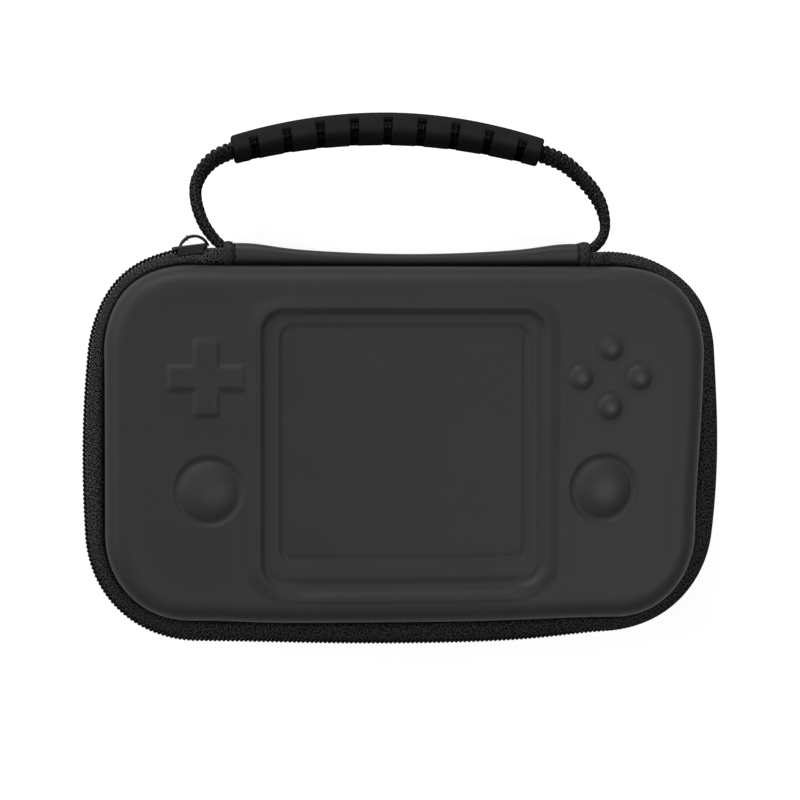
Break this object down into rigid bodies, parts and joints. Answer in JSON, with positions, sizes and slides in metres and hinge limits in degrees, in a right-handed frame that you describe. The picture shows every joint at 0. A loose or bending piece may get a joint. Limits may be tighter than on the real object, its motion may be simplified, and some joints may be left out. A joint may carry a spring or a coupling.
{
  "type": "portable game console case",
  "caption": "Zipped hard case for a handheld game console: embossed front shell hinged to a plain back shell, coil zip with slider and pull, webbing carry handle with a slotted moulded grip.",
  "frame": {"origin": "centre of the back shell's flat face, where the case lies on a surface", "axes": "+X to the right along the case, +Y towards the carrying handle, +Z out of the embossed front face"},
  "size_m": [0.1874, 0.1576, 0.0473],
  "materials": {
    "shell": "matte dark grey moulded foam laminate with a smooth skin",
    "zip_tape": "black twill-woven tape",
    "zip_coil": "black nylon coil",
    "lining": "black knitted lining cloth",
    "strip": "smooth black coated sheet, satin",
    "webbing": "black ribbed woven webbing",
    "grip": "black moulded rubber, satin",
    "slider": "black lacquered die-cast metal"
  },
  "bodies": {
    "base": {"back_shell": "shell", "back_zip_tape": "zip_tape", "back_zip_coil": "zip_coil", "back_binding": "lining", "spine_cloth": "lining", "handle_strip": "strip", "handle_webbing": "webbing", "handle_grip": "grip"},
    "lid": {"front_shell": "shell", "front_zip_tape": "zip_tape", "front_zip_coil": "zip_coil", "front_binding": "lining"},
    "slider": {"zip_slider": "slider"},
    "pull": {"zip_pull": "slider"}
  },
  "joints": [
    {"name": "lid_hinge", "type": "hinge", "parent": "base", "child": "lid", "pos_m": [0, 0.0578, 0.023], "axis": [-1, 0, 0], "range_deg": [0, 95], "deforming": ["spine_cloth", "handle_strip", "front_zip_tape", "front_zip_coil"]},
    {"name": "slider_travel", "type": "hinge", "parent": "base", "child": "slider", "pos_m": [-0.05829, 0.02324, 0.023], "axis": [0, 0, 1], "range_deg": [0, 75], "deforming": ["front_zip_coil", "back_zip_coil"]},
    {"name": "pull_swing", "type": "hinge", "parent": "slider", "child": "pull", "pos_m": [-0.06359, 0.06041, 0.023], "axis": [0.9921, 0.1253, 0], "range_deg": [-10, 95]}
  ]
}
